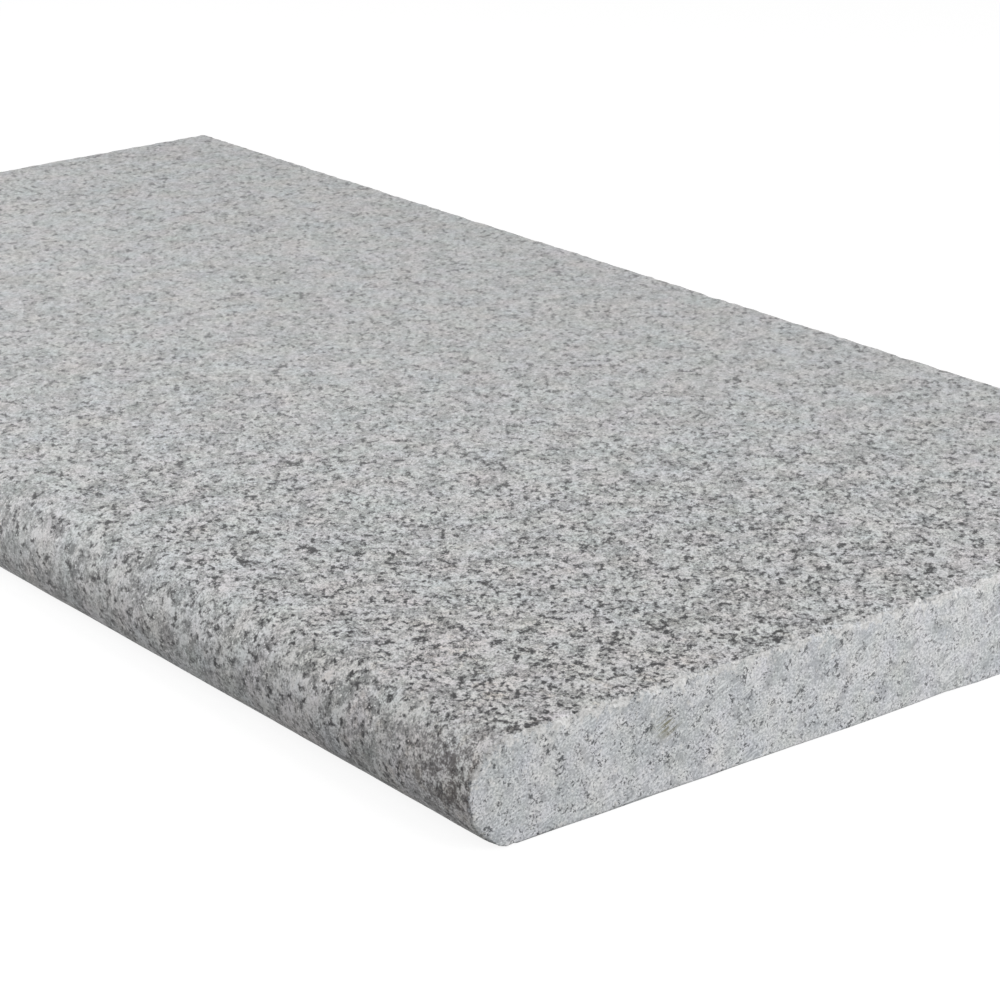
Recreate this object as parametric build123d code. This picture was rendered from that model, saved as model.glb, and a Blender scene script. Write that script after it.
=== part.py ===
"""Granite pool coping: one solid stone with a full bullnose along its pool edge.

X runs along the pool's wall, -Y points to the water, +Z is up, in millimetres.
The origin is on the underside, at the middle of the stone's length and width.
"""

import os

from build123d import *

# Driving dimensions
LENGTH = 600.0  # along the pool wall, from sawn end to sawn end
WIDTH = 300.0  # from the tip of the nose to the sawn back edge
THICKNESS = 30.0  # from the sawn underside to the flamed top
ARRIS = 1.0  # leg of the small 45 degree bevel that eases each sawn edge

# A full bullnose runs into the top and the underside without a corner, so the thickness sets its radius
NOSE_RADIUS = THICKNESS / 2

NOSE_TIP_Y = -WIDTH / 2
BACK_Y = WIDTH / 2
NOSE_CENTRE_Y = NOSE_TIP_Y + NOSE_RADIUS


def coping_section():
    """The section across the pool wall: a half-round nose, two flats and a back edge with eased corners."""
    underside_front = (NOSE_CENTRE_Y, 0)
    nose_tip = (NOSE_TIP_Y, NOSE_RADIUS)
    top_front = (NOSE_CENTRE_Y, THICKNESS)
    top_back = (BACK_Y - ARRIS, THICKNESS)
    back_upper = (BACK_Y, THICKNESS - ARRIS)
    back_lower = (BACK_Y, ARRIS)
    underside_back = (BACK_Y - ARRIS, 0)
    nose = ThreePointArc(underside_front, nose_tip, top_front)
    flats = Polyline(top_front, top_back, back_upper, back_lower, underside_back, underside_front)
    return Plane.YZ * make_face(nose + flats)


def coping_slab():
    """The section run along the pool wall, with the outline of both sawn ends eased, round the nose too."""
    slab = extrude(coping_section(), amount=LENGTH / 2, both=True)
    sawn_ends = slab.faces().filter_by(Axis.X)
    return chamfer(sawn_ends.edges(), length=ARRIS)


os.makedirs("parts", exist_ok=True)
export_step(coping_slab(), "parts/coping_slab.step")
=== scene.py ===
"""The looks of a granite pool coping: flamed top and nose, sawn ends, back and underside.

The stone is one mesh of closed rings. They open out on the left end, run along the stone and close in on
the right end, and a flat face shuts the middle of each end. The arris is cut into them with its chips.
All lengths are in metres, apart from those of the granite, which are in millimetres.
"""

import math

import bpy
import numpy as np
from mathutils import Matrix, Vector, noise


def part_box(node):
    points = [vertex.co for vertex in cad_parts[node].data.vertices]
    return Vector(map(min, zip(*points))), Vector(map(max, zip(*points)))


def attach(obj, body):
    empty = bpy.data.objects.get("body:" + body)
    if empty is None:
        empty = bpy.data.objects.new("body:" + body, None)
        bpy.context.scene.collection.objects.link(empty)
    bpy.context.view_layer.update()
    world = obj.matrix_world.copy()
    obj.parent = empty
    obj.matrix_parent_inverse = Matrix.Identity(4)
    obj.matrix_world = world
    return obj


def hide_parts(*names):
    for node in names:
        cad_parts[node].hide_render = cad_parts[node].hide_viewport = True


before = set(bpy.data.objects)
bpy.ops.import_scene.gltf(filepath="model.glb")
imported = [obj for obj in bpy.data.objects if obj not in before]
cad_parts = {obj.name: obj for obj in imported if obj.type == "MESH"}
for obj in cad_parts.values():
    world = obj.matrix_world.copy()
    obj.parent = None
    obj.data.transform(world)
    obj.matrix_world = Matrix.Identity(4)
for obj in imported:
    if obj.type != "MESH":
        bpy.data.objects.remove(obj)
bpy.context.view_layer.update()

MM = 0.001

# The stone's sizes, from its solid
LOW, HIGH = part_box("coping_slab")
LENGTH = HIGH.x - LOW.x
NOSE_RADIUS = (HIGH.z - LOW.z) / 2
NOSE_Y = LOW.y + NOSE_RADIUS
BACK_Y = HIGH.y

# How far apart the mesh's rows are, and how they close up beside an arris
PITCH_ALONG = 2.7 * MM
PITCH_ACROSS = 1.25 * MM
PITCH_SAWN = 2.5 * MM
PITCH_UNDERSIDE = 12.0 * MM
FIRST_STEP = 0.3 * MM
STEP_GROWTH = 1.4
END_INSET = 8.0 * MM
SHARP_ANGLE = math.radians(25)

# Points closer together than this are in one place
TOUCHING = 1e-9

# The arris: its width, its waver, the chips that widen it, and the share of these on the quieter edges
ARRIS = 1.0 * MM
ARRIS_LEAST = 0.3 * MM
ARRIS_WAVER = 1.6 * MM
ARRIS_WAVES = 4.0 * MM
CHIP = 4.0 * MM
CHIP_SPACING = 9.0 * MM
CHIP_FROM = 0.2
LOWER_SHARE = 0.6
FAR_SHARE = 0.35

# How fast a cut takes the flamed relief away
BARED_RISE = 1.5

# How far the flamed and sawn colours can reach over an arris, and the pale crushed band between them
RAGGED = 2.5 * MM
CRUSHED_OVER = 1.5 * MM
CRUSHED_DOWN = 4.5 * MM

# The flamed relief: waves of each length and how deep they are cut into the surface
FLAMED_WAVES = ((26 * MM, 0.16 * MM), (11 * MM, 0.10 * MM), (6 * MM, 0.10 * MM))
FLAMED_SEED = 11
SAWN_BLEND = 3.0 * MM

# How far one seed of the waves lies from the next
SEED_STEP = (7.31, 3.77, 5.19)

# The flat map that the stone's colours are painted on: a strip round the section, and the two ends above it
MAP_EDGE = 0.003
MAP_UNDERSIDE = 0.38
MAP_END = 1.9

# Mineral colours, and the white of the glints painted on the nose
FELDSPAR = (0.83, 0.835, 0.84)
QUARTZ = (0.25, 0.255, 0.255)
MICA = (0.022, 0.022, 0.024, 1)
SAWN_PALE = (0.81, 0.82, 0.83)
SAWN_GREY = (0.45, 0.465, 0.48)
SAWN_SMUDGE = (0.36, 0.37, 0.385, 1)
SAWN_MICA = (0.07, 0.075, 0.08, 1)
CRUSHED_PALE = (0.88, 0.875, 0.865)
CRUSHED_GREY = (0.54, 0.535, 0.52)
# Painted glints: white specks that stand in for light glinting off crystals on the nose
PAINTED_GLINT = (0.95, 0.95, 0.95, 1)
WARM = (1.0, 0.98, 0.975, 1)
RUST = (0.98, 0.90, 0.80, 1)
SCRATCH_PALE = (0.86, 0.87, 0.88, 1)
STAIN = (0.20, 0.19, 0.12, 1)
PATCH = (0.10, 0.085, 0.083, 1)

# The sizes of what the flame leaves, in millimetres, and how far its casts reach in red, green and blue
CRYSTAL = 2.4
CRYSTAL_EDGE = 1.5
CRYSTAL_EDGE_REACH = 3.0
GRAIN = 1.0
FINE_GRAIN = 0.5
FLECK = 1.7
FLECK_CLUSTER = 7.0
CLOUD = 5.0
# The size of the painted glints
PAINTED_GLINT_SIZE = 1.3
RUST_SIZE = 4.0
FLAMED_CAST = 12.0
FLAMED_CAST_REACH = (0.18, 0.04, 0.12)

# How many flecks there are, how soft their edges are, and what changes their number
FLECK_LEVEL = 0.726
FLECK_EDGE = 0.075
FLECK_FADE = 0.18
CLUSTER_SHARE = 0.25
WORN_SHARE = -0.025
WORN_CLOUD = 1.15

# The way in which the flecks of the top fade, where that begins and ends, and what is left of them
FADING = (-0.75, 0.66, 0.0)
FADING_FROM = -340.0
FADING_TO = 165.0
FAINTEST = 0.5

# What the grain keeps where it is faintest: of its tone, of its flecks' contrast and darkness, and of detail
FAINT_TONE = 0.35
FAINT_CONTRAST = 0.55
FAINT_DARK = 0.6
FAINT_DETAIL = 1.0
FULL_DETAIL = 4.0
FINE_SHARE = 0.55

# The point from which the grain gets larger, how far off it has its true size, its stretch and its growth
RAYS_FROM = (1100.0, -750.0, 0.0)
RAYS_TRUE = 1000.0
RAYS_STRETCH = 1.3
RAYS_GROWTH = 0.5

# Where the nose begins and is most worn, and where its glints are painted
NOSE_FROM = -130.0
NOSE_TO = -148.0

# The middle and reach of the warm cast on the top, and of the brown patch on the nose
WARM_PLACE = (285.0, -115.0, 30.0)
WARM_REACH = 140.0
PATCH_PLACE = (291.0, -148.0, 17.0)
PATCH_REACH = 24.0

# The way the saw ran over the ends, and how long what it drew out is for its width
SAW_TILT = math.radians(22)
SAWN_LONG = 1.25
SCRATCH_LONG = 9.0

# The sizes of what the saw leaves, in millimetres, its casts' reach, and what crowding adds to its flecks
BLOTCH = 8.0
SAWN_FINE = 0.6
SMUDGE = 3.2
SCRATCH = 0.7
SCRATCHED_AREA = 14.0
SAWN_CLUSTER = 4.0
SAWN_SPECK = 0.75
SAWN_FLECK = 1.7
SAWN_CAST = 8.0
SAWN_CAST_REACH = (0.09, 0.04, 0.14)
SAWN_CLUSTER_SHARE = 0.22

# Where the flecks of the sawn faces begin to fade and stop, and what is left of them
SAWN_FADE_FROM = -80.0
SAWN_FADE_TO = 40.0
SAWN_FAINTEST = 0.8

# The one stain on the right end
STAIN_PLACE = (300.0, -87.0, 18.5)
STAIN_REACH = 6.5

# The sizes of the ragged edges of the sawn and crushed faces, and of the crushed grain, in millimetres
SAWN_EDGE = 2.6
CRUSHED_EDGE = 3.0
CRUSHED_GRAIN = 0.9

# The bumps: their sizes and depths in millimetres, and the share of them on the sawn faces
BUMP = 2.4
BUMP_DEPTH = 0.4
FINE_BUMP = 0.8
FINE_BUMP_DEPTH = 0.12
SAWN_BUMP_SHARE = 0.15

# How rough the faces are
FLAMED_ROUGHNESS = 0.7
SAWN_ROUGHNESS = 0.85

# The studio
FLOOR_SIZE = 12.0
FLOOR_GREY = (0.25, 0.25, 0.25, 1)
FLOOR_GLOW = 0.88
WHITE = (1.0, 1.0, 1.0, 1)
AMBIENT = 0.3

# The camera, found from the stone's straight edges: image size and focal length in pixels, angles in degrees
IMAGE = 1000
FOCAL = 3172.9
AZIMUTH = 53.48
ELEVATION = 19.65
ROLL = -1.37
AIM_RIGHT = -7.3 * MM
AIM_UP = -88.0 * MM
AIM_DISTANCE = 772.5 * MM
SENSOR = 36.0


def spread(length, pitch, fine_start=False, fine_end=False):
    """Distances from 0 to length, about pitch apart, and closer together beside an edge that is chipped."""
    fine = [0.0]
    step = FIRST_STEP
    while step < pitch:
        fine.append(fine[-1] + step)
        step *= STEP_GROWTH
    start = fine if fine_start else [0.0]
    end = [length - d for d in reversed(fine)] if fine_end else [length]
    gap = end[0] - start[-1]
    count = max(1, round(gap / pitch))
    between = [start[-1] + gap * i / count for i in range(1, count)]
    return np.array(start + between + end)


def outline():
    """The section's outline as y and z: up round the nose, along the top, down the back, and underneath."""
    thickness = 2 * NOSE_RADIUS
    turns = np.linspace(0, math.pi, round(math.pi * NOSE_RADIUS / PITCH_ACROSS) + 1)
    flat = spread(BACK_Y - NOSE_Y, PITCH_ACROSS, fine_end=True)
    drop = spread(thickness, PITCH_SAWN, fine_start=True, fine_end=True)
    under = spread(BACK_Y - NOSE_Y, PITCH_UNDERSIDE, fine_start=True)
    nose = np.column_stack((NOSE_Y - NOSE_RADIUS * np.sin(turns), NOSE_RADIUS * (1 - np.cos(turns))))
    top = np.column_stack((NOSE_Y + flat, np.full(len(flat), thickness)))
    back = np.column_stack((np.full(len(drop), BACK_Y), thickness - drop))
    underside = np.column_stack((BACK_Y - under, np.zeros(len(under))))
    return np.concatenate((nose[:-1], top[:-1], back[:-1], underside[:-1]))


def rings():
    """Each ring's place along the stone, and how far it has closed from the outline to the end's middle."""
    closing = spread(END_INSET, PITCH_SAWN, fine_start=True) / NOSE_RADIUS
    along = spread(LENGTH, PITCH_ALONG, fine_start=True, fine_end=True) - LENGTH / 2
    left_end = np.full(len(closing) - 1, along[0])
    right_end = np.full(len(closing) - 1, along[-1])
    places = np.concatenate((left_end, along, right_end))
    closed = np.concatenate((closing[:0:-1], np.zeros(len(along)), closing[1:]))
    return places, closed


def waves(points, length, seed):
    """Smooth noise from about -1 to 1 at each point, with waves of that length."""
    offset = Vector([seed * step for step in SEED_STEP])
    return np.array([noise.noise(Vector(p) / length + offset) for p in points])


def smooth(x):
    """0 below 0, 1 above 1 and an even curve between."""
    x = np.clip(x, 0, 1)
    return x * x * (3 - 2 * x)


def arris_width(points, seed):
    """How wide the arris is beside each point: a bevel that wavers, and here and there a chip."""
    even = np.maximum(ARRIS + ARRIS_WAVER * waves(points, ARRIS_WAVES, seed), ARRIS_LEAST)
    chips = CHIP * np.clip(waves(points, CHIP_SPACING, seed + 1) - CHIP_FROM, 0, 1)
    share = LOWER_SHARE + (1 - LOWER_SHARE) * smooth(points[:, 2] / NOSE_RADIUS)
    share = np.where(points[:, 0] > HIGH.x - CHIP, share, share * FAR_SHARE)
    return share * (even + chips)


def ways_in(points):
    """How deep each point is under the nearer end, the back and the outline, and the ways straight in."""
    x, y = points[:, :2].T
    middle = np.column_stack((x, np.maximum(y, NOSE_Y), np.full(len(x), NOSE_RADIUS)))
    inward = middle - points
    inward[:, 1] = np.where(y > NOSE_Y, 0, inward[:, 1])
    to_middle = np.linalg.norm(inward, axis=1)
    end = (LENGTH / 2 - np.abs(x), np.outer(-np.sign(x), (1, 0, 0)))
    back = (BACK_Y - y, np.tile((0.0, -1.0, 0.0), (len(x), 1)))
    face = (NOSE_RADIUS - to_middle, inward / np.maximum(to_middle, TOUCHING)[:, None])
    return end, back, face


def cut_arrises(points, end, back, face):
    """The points with the arrises and their chips cut in, and how far each cut has bared the stone."""
    moved = points.copy()
    bared = np.zeros(len(points))
    for one, other, seed in ((end, face, 1), (back, face, 3), (end, back, 5)):
        to_one, from_one = one
        to_other, from_other = other
        reach = np.flatnonzero(to_one + to_other < ARRIS + ARRIS_WAVER + CHIP)
        width = arris_width(points[reach], seed)
        cut = np.clip(width - to_one[reach] - to_other[reach], 0, None) / 2
        moved[reach] += cut[:, None] * (from_one[reach] + from_other[reach])
        bared[reach] = np.maximum(bared[reach], smooth(BARED_RISE * cut / width))
    return moved, bared


def relief(points):
    """How deep the flame has cut into the surface at each point."""
    return sum(0.5 * deep * (1 + waves(points, length, FLAMED_SEED + i))
               for i, (length, deep) in enumerate(FLAMED_WAVES))


def weathered(points):
    """The rings' points with arrises and flamed relief cut in, how sawn each is, and how crushed."""
    y, z = points[:, 1:].T
    end, back, face = ways_in(points)
    to_end, to_back, to_face = end[0], back[0], face[0]
    underneath = np.where(z < NOSE_RADIUS, smooth((y - NOSE_Y) / SAWN_BLEND + 1), 0)

    moved, bared = cut_arrises(points, end, back, face)
    plain = (to_end <= 0, to_back <= 0, to_face > TOUCHING, underneath, bared)
    flat = np.maximum.reduce(plain).astype(float)
    flamed = np.flatnonzero(flat < 1)
    depth = relief(points[flamed]) * (1 - flat[flamed])
    moved[flamed] += depth[:, None] * face[1][flamed]

    over = np.minimum(to_end, to_back)
    sawn = np.maximum(np.clip(0.5 + 0.5 * (to_face - over) / RAGGED, 0, 1), underneath)
    upper = smooth(z / NOSE_RADIUS - 0.5)
    crushed = upper * np.clip(1 - over / CRUSHED_OVER - to_face / CRUSHED_DOWN, 0, 1)
    return moved, sawn, crushed


def corners(grid):
    """Each face's four corners, from a value for each point of each ring, with its first point again."""
    return np.stack((grid[:-1, :-1], grid[1:, :-1], grid[1:, 1:], grid[:-1, 1:]), axis=2)


def closed_round(grid):
    """The same values with each ring's first point again at its end."""
    return np.concatenate((grid, grid[:, :1]), axis=1)


def flat_map(section, across, places, closed):
    """Where each face's corners lie on the flat map, and the corners of the two faces that shut the ends."""
    steps = np.linalg.norm(np.diff(closed_round(section[None])[0], axis=0), axis=1)
    below = section[:, 1] <= 0
    below[0] = False
    strip = np.concatenate(((0,), np.cumsum(np.where(below, MAP_UNDERSIDE, 1) * steps))) / LENGTH
    along = places / LENGTH + 0.5
    body = np.stack(np.meshgrid(along, strip, indexing="ij"), axis=-1)
    end = closed_round((across - (LOW.y, 0)) * MAP_END / LENGTH)
    left = end + (0, strip[-1] + 2 * MAP_EDGE)
    right = left + (0, 2 * NOSE_RADIUS * MAP_END / LENGTH + 2 * MAP_EDGE)

    first, last = np.flatnonzero(closed == 0)[[0, -1]]
    sides = (corners(left)[:first], corners(body)[first:last], corners(right)[last:])
    faces = np.concatenate([part.reshape(-1, 2) for part in sides])
    shut = np.concatenate((left[0, :-1], right[-1, -2::-1]))
    return MAP_EDGE + (1 - 2 * MAP_EDGE) * np.concatenate((faces, shut))


def stone():
    """The coping stone, one closed mesh."""
    section = outline()
    centre = np.column_stack((np.clip(section[:, 0], NOSE_Y, BACK_Y - NOSE_RADIUS),
                              np.full(len(section), NOSE_RADIUS)))
    places, closed = rings()
    across = section[None] + closed[:, None, None] * (centre - section)[None]
    along = np.broadcast_to(places[:, None, None], (len(places), len(section), 1))
    points, sawn, crushed = weathered(np.concatenate((along, across), axis=2).reshape(-1, 3))

    index = np.arange(len(points)).reshape(len(places), len(section))
    faces = corners(closed_round(index)).reshape(-1, 4).tolist()
    faces += [index[0].tolist(), index[-1, ::-1].tolist()]

    mesh = bpy.data.meshes.new("coping_stone")
    mesh.from_pydata(points.tolist(), [], faces)
    for name, values in (("sawn", sawn), ("crushed", crushed)):
        mesh.attributes.new(name, "FLOAT", "POINT").data.foreach_set("value", values.astype(np.float32))
    layout = flat_map(section, across, places, closed).astype(np.float32)
    mesh.uv_layers.new(name="OFBake").uv.foreach_set("vector", layout.ravel())
    mesh.shade_smooth()
    mesh.set_sharp_from_angle(angle=SHARP_ANGLE)
    piece = bpy.data.objects.new("coping_stone", mesh)
    bpy.context.scene.collection.objects.link(piece)
    return piece


class Nodes:
    """A short way to write a node tree: each call adds one node and gives its output."""

    def __init__(self, tree):
        self.tree = tree
        tree.nodes.clear()

    def node(self, kind, inputs, **settings):
        """One node, with its sockets linked or set."""
        made = self.tree.nodes.new(kind)
        for name, value in settings.items():
            setattr(made, name, value)
        for socket, value in inputs.items():
            if isinstance(value, bpy.types.NodeSocket):
                self.tree.links.new(value, made.inputs[socket])
            else:
                made.inputs[socket].default_value = value
        return made

    def add(self, kind, inputs, output=0, **settings):
        """One node, of which one output is wanted."""
        return self.node(kind, inputs, **settings).outputs[output]

    def math(self, operation, *values):
        """A sum of numbers."""
        return self.add("ShaderNodeMath", dict(enumerate(values)), operation=operation)

    def vector(self, operation, *values):
        """A sum of vectors."""
        return self.add("ShaderNodeVectorMath", dict(enumerate(values)), operation=operation)

    def measure(self, operation, *vectors):
        """One number from vectors, such as a distance."""
        return self.add("ShaderNodeVectorMath", dict(enumerate(vectors)), "Value", operation=operation)

    def noise(self, place, size, detail=2.0, roughness=0.5, output=0):
        """Clouds of about that size, from 0 to 1."""
        inputs = {"Vector": place, "Scale": 1 / size, "Detail": detail, "Roughness": roughness}
        return self.add("ShaderNodeTexNoise", inputs, output)

    def swing(self, place, size, detail=2.0, roughness=0.5):
        """Clouds of about that size, above and below 0."""
        return self.math("SUBTRACT", self.noise(place, size, detail, roughness), 0.5)

    def crystals(self, place, size):
        """A value for each crystal of about that size."""
        colour = self.add("ShaderNodeTexVoronoi", {"Vector": place, "Scale": 1 / size}, "Color")
        return self.add("ShaderNodeSeparateColor", {0: colour})

    def shaken(self, place, size, reach):
        """The place moved about, so that what is drawn there gets ragged edges."""
        offset = self.vector("SUBTRACT", self.noise(place, size, output="Color"), (0.5, 0.5, 0.5))
        return self.vector("MULTIPLY_ADD", offset, (reach, reach, reach), place)

    def between(self, value, start, end, low=0.0, high=1.0):
        """An even curve from low to high, as the value goes from start to end."""
        inputs = {"Value": value, 1: start, 2: end, 3: low, 4: high}
        return self.add("ShaderNodeMapRange", inputs, interpolation_type="SMOOTHSTEP")

    def mix(self, factor, first, second, blend="MIX"):
        """The first colour, with that much of the second over it."""
        inputs = {0: factor, 6: first, 7: second}
        return self.add("ShaderNodeMix", inputs, 2, data_type="RGBA", blend_type=blend)

    def ramp(self, value, stops):
        """The colour that the stops give for the value."""
        colours = self.add("ShaderNodeValToRGB", {0: value})
        band = colours.node.color_ramp.elements
        while len(band) < len(stops):
            band.new(1.0)
        for stop, (position, colour) in zip(band, stops):
            stop.position = position
            stop.color = (*colour, 1)
        return colours


def tinted(n, place, colour, size, reach):
    """The colour with faint casts of about that size, and how far they reach in red, green and blue."""
    level = [1 - share / 2 for share in reach]
    cast = n.vector("MULTIPLY_ADD", n.noise(place, size, 4, output="Color"), reach, level)
    return n.vector("MULTIPLY", colour, cast)


def on_rays(n, place):
    """The place, so that what is drawn there gets larger along rays from a point, and longer that way."""
    arm = n.vector("SUBTRACT", place, RAYS_FROM)
    sides = n.node("ShaderNodeSeparateXYZ", {0: arm}).outputs
    reach = n.measure("LENGTH", n.vector("MULTIPLY", arm, (1, 1, 0)))
    near = n.math("POWER", n.math("DIVIDE", RAYS_TRUE, reach), RAYS_GROWTH)
    along = n.math("MULTIPLY", near, -RAYS_TRUE / RAYS_STRETCH / RAYS_GROWTH)
    across = n.math("MULTIPLY", n.math("ARCTAN2", sides["Y"], sides["X"]), RAYS_TRUE)
    up = n.math("DIVIDE", n.math("MULTIPLY", sides["Z"], RAYS_TRUE), reach)
    return n.add("ShaderNodeCombineXYZ", {"X": along, "Y": across, "Z": up})


def along_saw(n, place, length):
    """The place, so that what is drawn there is that many times as long the way the saw ran."""
    inputs = {"Vector": place, "Rotation": (SAW_TILT, 0, 0), "Scale": (1, length, 1)}
    return n.add("ShaderNodeMapping", inputs, vector_type="TEXTURE")


def by_strength(n, strength, least, most):
    """A value that goes from most to least as the flecks fade."""
    return n.between(strength, FAINTEST, 1.0, least, most)


def flamed_grain(n, rays, strength, detail):
    """The grain of the flamed stone, above and below 0, with less that is fine where the flecks fade."""
    fine = n.swing(rays, FINE_GRAIN, 2, 0.6)
    fine = n.math("MULTIPLY", fine, by_strength(n, strength, 0.0, FINE_SHARE))
    return n.math("ADD", fine, n.swing(rays, GRAIN, detail, 0.65))


def flamed_minerals(n, rays, grain, cloud, strength, worn):
    """Bright feldspar and grey quartz in crystals, with clouds where the nose is worn."""
    clear = by_strength(n, strength, FAINT_TONE, 1.0)
    crystal = n.crystals(n.shaken(rays, CRYSTAL_EDGE, CRYSTAL_EDGE_REACH), CRYSTAL)
    pale = n.between(crystal, 0.1, 0.7, -0.09, 0.09)
    pale = n.math("MULTIPLY_ADD", n.math("MULTIPLY", cloud, worn), WORN_CLOUD, pale)
    pale = n.math("MULTIPLY", pale, clear)
    tone = n.math("MULTIPLY_ADD", grain, clear, n.math("ADD", pale, 0.5))
    return n.ramp(tone, ((0.30, QUARTZ), (0.70, FELDSPAR)))


def flamed_mica(n, place, rays, strength, detail, worn):
    """How much of the ragged dark flecks there is."""
    cluster = n.swing(place, FLECK_CLUSTER, 3, 0.6)
    flecks = n.math("MULTIPLY_ADD", cluster, CLUSTER_SHARE, n.noise(rays, FLECK, detail, 0.66))
    flecks = n.math("MULTIPLY_ADD", worn, WORN_SHARE, flecks)
    flecks = n.math("MULTIPLY_ADD", strength, FLECK_FADE, n.math("SUBTRACT", flecks, FLECK_LEVEL))
    flecks = n.math("MULTIPLY", flecks, by_strength(n, strength, FAINT_CONTRAST, 1.0))
    dark = by_strength(n, strength, FAINT_DARK, 1.0)
    return n.math("MULTIPLY", n.between(flecks, -FLECK_EDGE, FLECK_EDGE), dark)


def warmed(n, place, colour):
    """The colour with the warm cast on the top, and rust in it."""
    warm = n.between(n.measure("DISTANCE", place, WARM_PLACE), 0.0, WARM_REACH, 1.0, 0.0)
    colour = n.mix(warm, colour, WARM, "MULTIPLY")
    rust = n.math("MULTIPLY", warm, n.between(n.noise(place, RUST_SIZE, 3), 0.56, 0.7, 0.0, 0.4))
    return n.mix(rust, colour, RUST, "MULTIPLY")


def flamed_colour(n, place):
    """The minerals as the flame leaves them: bright feldspar, grey quartz and ragged flecks of dark mica,
    with painted glints of highlight on the nose.
    """
    away = n.measure("DOT_PRODUCT", place, FADING)
    strength = n.between(away, FADING_FROM, FADING_TO, 1.0, FAINTEST)
    worn = n.between(n.add("ShaderNodeSeparateXYZ", {0: place}, "Y"), NOSE_FROM, NOSE_TO)
    detail = by_strength(n, strength, FAINT_DETAIL, FULL_DETAIL)
    rays = on_rays(n, place)
    grain = flamed_grain(n, rays, strength, detail)
    cloud = n.swing(place, CLOUD, 4, 0.6)

    colour = flamed_minerals(n, rays, grain, cloud, strength, worn)
    colour = n.mix(flamed_mica(n, place, rays, strength, detail, worn), colour, MICA)
    # Painted highlight: white specks on the worn nose in place of light glinting off its crystals
    painted_glint = n.math("MULTIPLY", n.between(n.noise(place, PAINTED_GLINT_SIZE, 2), 0.65, 0.70), worn)
    colour = n.mix(painted_glint, colour, PAINTED_GLINT)
    colour = warmed(n, place, colour)

    mottle = n.math("MULTIPLY_ADD", grain, 1.2, cloud)
    near = n.between(n.measure("DISTANCE", place, PATCH_PLACE), 0.0, PATCH_REACH, 0.8, 0.0)
    patch = n.math("MULTIPLY", near, n.between(mottle, 0.14, -0.14))
    colour = n.mix(patch, colour, PATCH)
    return tinted(n, place, colour, FLAMED_CAST, FLAMED_CAST_REACH)


def sawn_minerals(n, place, drawn):
    """Pale dusty stone with blotches, and grey smudges the way the saw ran."""
    tone = n.math("MULTIPLY_ADD", n.swing(place, BLOTCH, 3), 0.7, 0.5)
    tone = n.math("MULTIPLY_ADD", n.swing(drawn, SAWN_FINE, 3, 0.65), 2.2, tone)
    colour = n.ramp(tone, ((0.25, SAWN_GREY), (0.75, SAWN_PALE)))
    smudge = n.between(n.noise(drawn, SMUDGE, 4, 0.7), 0.49, 0.68, 0.0, 0.7)
    return n.mix(smudge, colour, SAWN_SMUDGE)


def sawn_mica(n, place, drawn):
    """How much of the small and larger dark flecks there is, darkest where they crowd."""
    cluster = n.swing(place, SAWN_CLUSTER, 3, 0.6)
    speck = n.noise(drawn, SAWN_SPECK, 3, 0.65)
    fleck = n.noise(drawn, SAWN_FLECK, 4, 0.75)
    flecks = n.math("MULTIPLY_ADD", cluster, SAWN_CLUSTER_SHARE, n.math("MAXIMUM", speck, fleck))
    dark = n.between(cluster, -0.12, 0.12, 0.35, 0.95)
    mica = n.math("MULTIPLY", n.between(flecks, 0.57, 0.625), dark)
    inland = n.add("ShaderNodeSeparateXYZ", {0: place}, "Y")
    fading = n.between(inland, SAWN_FADE_FROM, SAWN_FADE_TO, 1.0, SAWN_FAINTEST)
    return n.math("MULTIPLY", mica, fading)


def sawn_colour(n, place):
    """The minerals as the saw leaves them: pale and dusty, with flecks, scratches and a stain."""
    drawn = along_saw(n, place, SAWN_LONG)
    colour = sawn_minerals(n, place, drawn)

    line = n.noise(along_saw(n, place, SCRATCH_LONG), SCRATCH, 2)
    area = n.between(n.noise(place, SCRATCHED_AREA, 2), 0.45, 0.6)
    scratch = n.math("MULTIPLY", area, n.between(line, 0.5, 0.68, 0.0, 0.75))
    colour = n.mix(scratch, colour, SCRATCH_PALE)
    colour = n.mix(sawn_mica(n, place, drawn), colour, SAWN_MICA)

    near = n.between(n.measure("DISTANCE", place, STAIN_PLACE), 0.0, STAIN_REACH, 0.9, 0.0)
    stain = n.math("MULTIPLY", near, n.between(line, 0.49, 0.57, 0.08, 1.0))
    colour = n.mix(stain, colour, STAIN)
    return tinted(n, place, colour, SAWN_CAST, SAWN_CAST_REACH)


def crushed_colour(n, place):
    """Stone that is crushed along an arris: warm white, with little to see in it."""
    grain = n.noise(place, CRUSHED_GRAIN, 3, 0.65)
    return n.ramp(grain, ((0.35, CRUSHED_GREY), (0.6, CRUSHED_PALE)))


def ragged_share(n, place, name, size, reach):
    """A share that the mesh holds under that name, with ragged edges."""
    share = n.add("ShaderNodeAttribute", {}, "Fac", attribute_name=name)
    return n.math("ADD", share, n.between(n.noise(place, size, 4, 0.7), 0.25, 0.75, -reach, reach))


def granite_bump(n, place, sawn):
    """The fine bumps of the flamed faces, and far less of them on the sawn ones."""
    height = n.math("MULTIPLY", n.noise(place, BUMP, 3), BUMP_DEPTH)
    height = n.math("MULTIPLY_ADD", n.noise(place, FINE_BUMP), FINE_BUMP_DEPTH, height)
    height = n.math("MULTIPLY", height, n.between(sawn, 0, 1, 1.0, SAWN_BUMP_SHARE))
    return n.add("ShaderNodeBump", {"Height": height, "Distance": MM, "Strength": 1.0})


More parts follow.
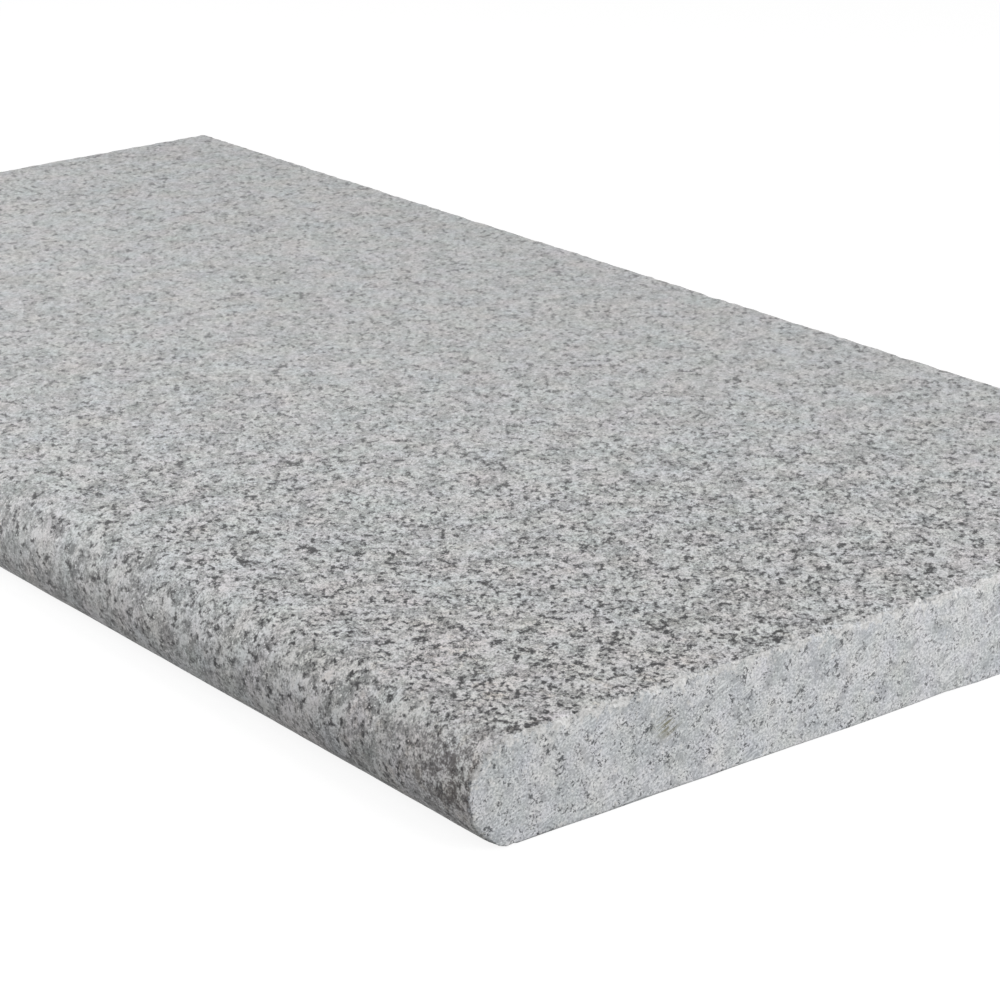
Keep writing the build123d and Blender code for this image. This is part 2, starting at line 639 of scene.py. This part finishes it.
def granite():
    """Light grey granite, flamed or sawn, and crushed along its upper arrises."""
    material = bpy.data.materials.new("granite")
    material.use_nodes = True
    n = Nodes(material.node_tree)
    place = n.add("ShaderNodeTexCoord", {}, "Object")
    place = n.vector("MULTIPLY", place, (1 / MM, 1 / MM, 1 / MM))
    sawn = n.between(ragged_share(n, place, "sawn", SAWN_EDGE, 0.4), 0.45, 0.55)
    crushed = n.between(ragged_share(n, place, "crushed", CRUSHED_EDGE, 0.9), 0.45, 0.85, 0.0, 0.8)
    colour = n.mix(sawn, flamed_colour(n, place), sawn_colour(n, place))
    colour = n.mix(crushed, colour, crushed_colour(n, place))
    rough = n.between(sawn, 0, 1, FLAMED_ROUGHNESS, SAWN_ROUGHNESS)
    bump = granite_bump(n, place, sawn)
    surface = n.add("ShaderNodeBsdfPrincipled", {"Base Color": colour, "Roughness": rough, "Normal": bump})
    n.node("ShaderNodeOutputMaterial", {"Surface": surface})
    return material


def seen_directly(n):
    """1 for what the camera sees, straight, reflected or through glass, and 0 for light that bounces."""
    paths = n.node("ShaderNodeLightPath", {}).outputs
    seen = n.math("MAXIMUM", paths["Is Camera Ray"], paths["Is Glossy Ray"])
    return n.math("MAXIMUM", seen, paths["Is Transmission Ray"])


def floor():
    """A white floor that keeps the stone's shadow and throws back less light than it shows."""
    bpy.ops.mesh.primitive_plane_add(size=FLOOR_SIZE)
    plane = bpy.context.object
    plane.name = "studio_floor"
    material = bpy.data.materials.new("studio_floor")
    material.use_nodes = True
    n = Nodes(material.node_tree)
    bare = n.add("ShaderNodeBsdfDiffuse", {"Color": FLOOR_GREY})
    glow = n.add("ShaderNodeEmission", {"Color": WHITE, "Strength": FLOOR_GLOW})
    shown = n.add("ShaderNodeAddShader", {0: bare, 1: glow})
    surface = n.add("ShaderNodeMixShader", {0: seen_directly(n), 1: bare, 2: shown})
    n.node("ShaderNodeOutputMaterial", {"Surface": surface})
    plane.data.materials.append(material)


def sky():
    """White to the camera, and a soft even light on the stone."""
    world = bpy.data.worlds.new("studio")
    world.use_nodes = True
    n = Nodes(world.node_tree)
    level = n.between(seen_directly(n), 0, 1, AMBIENT, 1.0)
    backdrop = n.add("ShaderNodeBackground", {"Color": WHITE, "Strength": level})
    n.node("ShaderNodeOutputWorld", {"Surface": backdrop})
    bpy.context.scene.world = world


def softbox(name, place, aim, size, power):
    """A square studio lamp that faces a point."""
    lamp = bpy.data.lights.new(name, "AREA")
    lamp.size = size
    lamp.energy = power
    holder = bpy.data.objects.new(name, lamp)
    holder.location = place
    holder.rotation_euler = (Vector(place) - Vector(aim)).to_track_quat("Z", "Y").to_euler()
    bpy.context.scene.collection.objects.link(holder)


def camera():
    """The camera, turned and placed as the stone's edges in the photograph ask."""
    turn, rise, roll = (math.radians(angle) for angle in (AZIMUTH, ELEVATION, ROLL))
    back = Vector((math.sin(turn) * math.cos(rise), -math.cos(turn) * math.cos(rise), math.sin(rise)))
    level = Vector((math.cos(turn), math.sin(turn), 0))
    upright = back.cross(level)
    right = math.cos(roll) * level + math.sin(roll) * upright
    up = math.cos(roll) * upright - math.sin(roll) * level
    near_corner = Vector((HIGH.x, LOW.y, LOW.z))
    eye = near_corner - AIM_RIGHT * right - AIM_UP * up + AIM_DISTANCE * back
    lens = bpy.data.cameras.new("camera")
    lens.sensor_width = SENSOR
    lens.lens = SENSOR * FOCAL / IMAGE
    holder = bpy.data.objects.new("camera", lens)
    holder.matrix_world = Matrix.Translation(eye) @ Matrix((right, up, back)).transposed().to_4x4()
    bpy.context.scene.collection.objects.link(holder)
    bpy.context.scene.camera = holder


coping = stone()
coping.data.materials.append(granite())
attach(coping, "root")
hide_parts("coping_slab")

floor()
sky()
softbox("front_light", place=(-0.6, -0.55, 0.4), aim=(-0.1, -0.15, 0), size=0.5, power=4.0)
softbox("top_light", place=(0.05, 0, 0.7), aim=(0.05, 0, 0), size=0.5, power=1.0)
softbox("end_light", place=(1.4, 0.2, 0.5), aim=(0.3, 0, 0.015), size=0.8, power=6.6)
softbox("side_light", place=(1.0, 0.6, 0.25), aim=(0.3, 0.05, 0.015), size=0.5, power=3.3)
camera()
bpy.context.scene.view_settings.view_transform = "Standard"
